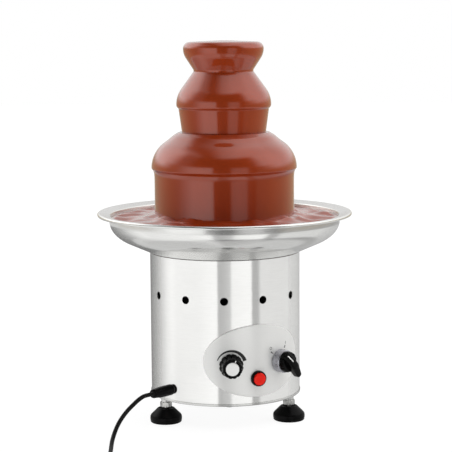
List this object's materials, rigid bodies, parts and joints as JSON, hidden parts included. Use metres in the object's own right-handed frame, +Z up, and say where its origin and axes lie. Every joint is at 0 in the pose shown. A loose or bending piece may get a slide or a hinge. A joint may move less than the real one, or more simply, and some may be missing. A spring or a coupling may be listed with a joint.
{
  "type": "chocolate fountain",
  "caption": "Electric chocolate fountain: round steel housing on screw feet, wide bowl, auger tower with falling tiers of chocolate, oval control panel and mains lead.",
  "frame": {"origin": "on the floor, under the axis of the tower", "axes": "+Z up along the tower's axis, the control panel faces -Y"},
  "size_m": [0.4369, 0.4198, 0.4761],
  "materials": {
    "brushed_stainless": "satin",
    "zinc_steel": "bright",
    "turned_steel": "turned",
    "panel_metal": "satin",
    "collar_metal": "satin",
    "black_plastic": "moulded",
    "white_disc": "gloss",
    "red_plastic": "gloss",
    "foot_rubber": "matt",
    "cord_rubber": "smooth",
    "gear_nylon": "moulded",
    "bronze": "sintered",
    "cast_aluminium": "cast",
    "motor_steel": "painted",
    "laminated_iron": "varnished",
    "chocolate": "wet"
  },
  "bodies": {
    "housing": {"housing_shell": "brushed_stainless", "base_plate": "brushed_stainless", "bowl": "brushed_stainless", "base_screws": "zinc_steel", "bowl_bolts": "zinc_steel", "gearbox_screws": "zinc_steel", "plug_pins": "zinc_steel", "bowl_spacers": "turned_steel", "bowl_hub": "turned_steel", "idler_pin": "turned_steel", "heater_clamp": "turned_steel", "deck_plate": "turned_steel", "control_panel": "panel_metal", "selector_collar": "collar_metal", "thermostat_body": "black_plastic", "selector_body": "black_plastic", "button_collar": "black_plastic", "button_switch": "black_plastic", "thermal_cutout": "black_plastic", "cord_tie": "black_plastic", "shaft_seal": "foot_rubber", "cord_gland": "cord_rubber", "cord_lead": "cord_rubber", "cord_coil": "cord_rubber", "plug_body": "cord_rubber", "terminal_block": "gear_nylon", "shaft_bushes": "bronze", "gearbox_case": "cast_aluminium", "gearbox_cover": "cast_aluminium", "heater_ring": "cast_aluminium", "motor_can": "motor_steel", "motor_end_cover": "motor_steel", "motor_stator": "laminated_iron", "chocolate_pool": "chocolate"},
    "drive": {"output_shaft": "turned_steel", "output_gear": "gear_nylon"},
    "idler": {"idler_cluster": "gear_nylon"},
    "rotor": {"motor_shaft": "turned_steel", "rotor_core": "laminated_iron", "cooling_fan": "black_plastic"},
    "auger": {"auger_core": "turned_steel", "auger_blade": "brushed_stainless", "chocolate_well": "chocolate"},
    "tower": {"auger_tube": "brushed_stainless", "lower_tier": "brushed_stainless", "middle_tier": "brushed_stainless", "crown_cup": "brushed_stainless", "chocolate_lower_fall": "chocolate", "chocolate_middle_fall": "chocolate", "chocolate_crown": "chocolate"},
    "thermostat_dial": {"thermostat_knob": "black_plastic", "thermostat_cap": "white_disc"},
    "selector_dial": {"selector_knob": "black_plastic"},
    "button": {"button_cap": "red_plastic"},
    "foot_right": {"foot_pad_right": "foot_rubber"},
    "stud_right": {"foot_stud_right": "zinc_steel"},
    "foot_rear": {"foot_pad_rear": "foot_rubber"},
    "stud_rear": {"foot_stud_rear": "zinc_steel"},
    "foot_left": {"foot_pad_left": "foot_rubber"},
    "stud_left": {"foot_stud_left": "zinc_steel"}
  },
  "joints": [
    {"name": "drive_spin", "type": "hinge", "parent": "housing", "child": "drive", "pos_m": [0, 0, 0.17], "axis": [0, 0, 1], "continuous": true},
    {"name": "idler_spin", "type": "hinge", "parent": "housing", "child": "idler", "pos_m": [0, 0.032, 0.17], "axis": [0, 0, 1], "continuous": true},
    {"name": "rotor_spin", "type": "hinge", "parent": "housing", "child": "rotor", "pos_m": [0.032, 0.032, 0.12], "axis": [0, 0, 1], "continuous": true},
    {"name": "auger_lift", "type": "slide", "parent": "drive", "child": "auger", "axis": [0, 0, 1], "range_m": [0, 0.25]},
    {"name": "tower_lift", "type": "slide", "parent": "housing", "child": "tower", "axis": [0, 0, 1], "range_m": [0, 0.28]},
    {"name": "thermostat_turn", "type": "hinge", "parent": "housing", "child": "thermostat_dial", "pos_m": [-0.03486, -0.09373, 0.0815], "axis": [-0.3486, -0.9373, 0], "range_deg": [-60, 120]},
    {"name": "selector_turn", "type": "hinge", "parent": "housing", "child": "selector_dial", "pos_m": [0.03486, -0.09373, 0.0815], "axis": [0.3486, -0.9373, 0], "range_deg": [0, 180]},
    {"name": "button_press", "type": "slide", "parent": "housing", "child": "button", "axis": [0, 1, 0], "range_m": [0, 0.0025], "stiffness_N_per_m": 400},
    {"name": "foot_right_travel", "type": "slide", "parent": "housing", "child": "foot_right", "axis": [0, 0, -1], "range_m": [0, 0.00801]},
    {"name": "foot_right_turn", "type": "hinge", "parent": "foot_right", "child": "stud_right", "pos_m": [0.05547, -0.07024, 0.02], "axis": [0, 0, -1], "range_deg": [0, 2304]},
    {"name": "foot_rear_travel", "type": "slide", "parent": "housing", "child": "foot_rear", "axis": [0, 0, -1], "range_m": [0, 0.00801]},
    {"name": "foot_rear_turn", "type": "hinge", "parent": "foot_rear", "child": "stud_rear", "pos_m": [0.03309, 0.08316, 0.02], "axis": [0, 0, -1], "range_deg": [0, 2304]},
    {"name": "foot_left_travel", "type": "slide", "parent": "housing", "child": "foot_left", "axis": [0, 0, -1], "range_m": [0, 0.00801]},
    {"name": "foot_left_turn", "type": "hinge", "parent": "foot_left", "child": "stud_left", "pos_m": [-0.08856, -0.01292, 0.02], "axis": [0, 0, -1], "range_deg": [0, 2304]}
  ],
  "couplings": [
    {"joint": "idler_spin", "follows": "drive_spin", "ratio": -3},
    {"joint": "rotor_spin", "follows": "drive_spin", "ratio": 9},
    {"joint": "foot_right_travel", "follows": "foot_right_turn", "m_per_rad": 0.00019894},
    {"joint": "foot_rear_travel", "follows": "foot_rear_turn", "m_per_rad": 0.00019894},
    {"joint": "foot_left_travel", "follows": "foot_left_turn", "m_per_rad": 0.00019894}
  ]
}
